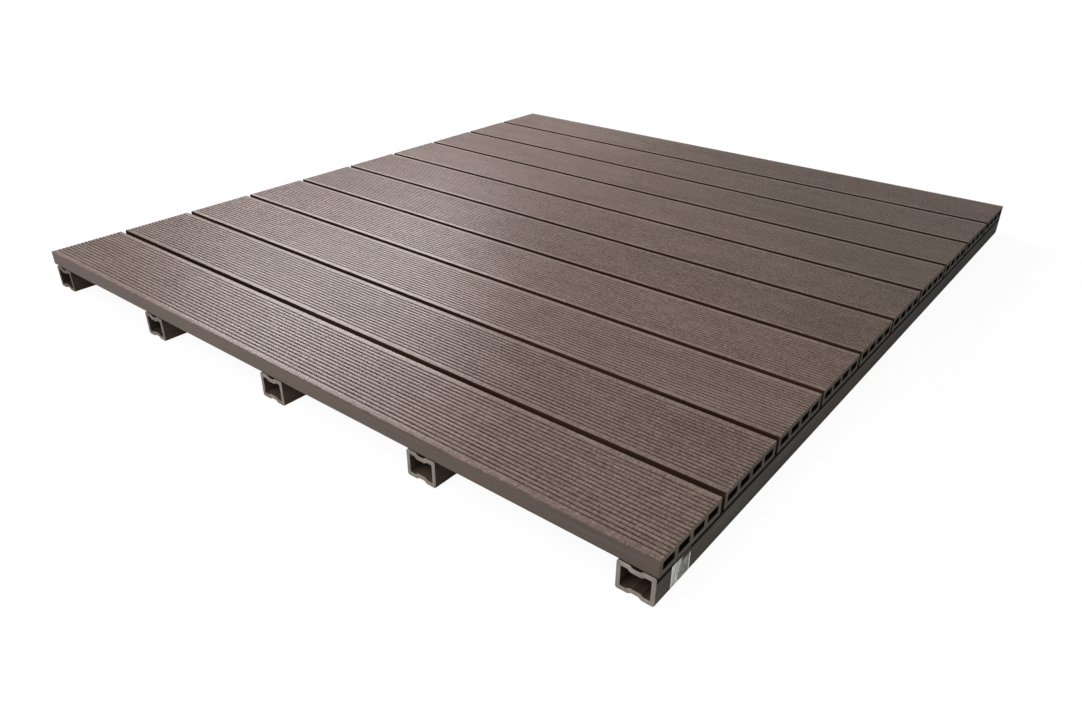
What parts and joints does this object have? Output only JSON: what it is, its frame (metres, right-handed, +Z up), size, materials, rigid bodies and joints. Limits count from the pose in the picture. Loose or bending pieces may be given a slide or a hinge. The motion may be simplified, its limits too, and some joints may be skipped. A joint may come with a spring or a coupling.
{
  "type": "composite decking panel",
  "caption": "Square section of outdoor decking: grooved hollow composite boards laid side by side with drainage gaps across hollow joists, screwed together from below.",
  "frame": {"origin": "on the ground, under the middle of the panel's bounding box", "axes": "+X along the boards, from the joist by the left end to the one by the right end; +Y from the front board to the back board; +Z up"},
  "size_m": [1.31, 1.43, 0.065],
  "materials": {
    "deck_board": "wood plastic composite, brushed and grooved",
    "joist": "wood plastic composite, as extruded",
    "screw_steel": "stainless steel, tumbled",
    "label_paper": "plain paper"
  },
  "bodies": {
    "root": {"board_01": "deck_board", "board_02": "deck_board", "board_03": "deck_board", "board_04": "deck_board", "board_05": "deck_board", "board_06": "deck_board", "board_07": "deck_board", "board_08": "deck_board", "board_09": "deck_board", "board_10": "deck_board", "joist_1": "joist", "joist_2": "joist", "joist_3": "joist", "joist_4": "joist", "joist_5": "joist", "screws_joist_1": "screw_steel", "screws_joist_2": "screw_steel", "screws_joist_3": "screw_steel", "screws_joist_4": "screw_steel", "screws_joist_5": "screw_steel", "blank_label": "label_paper"}
  },
  "joints": []
}
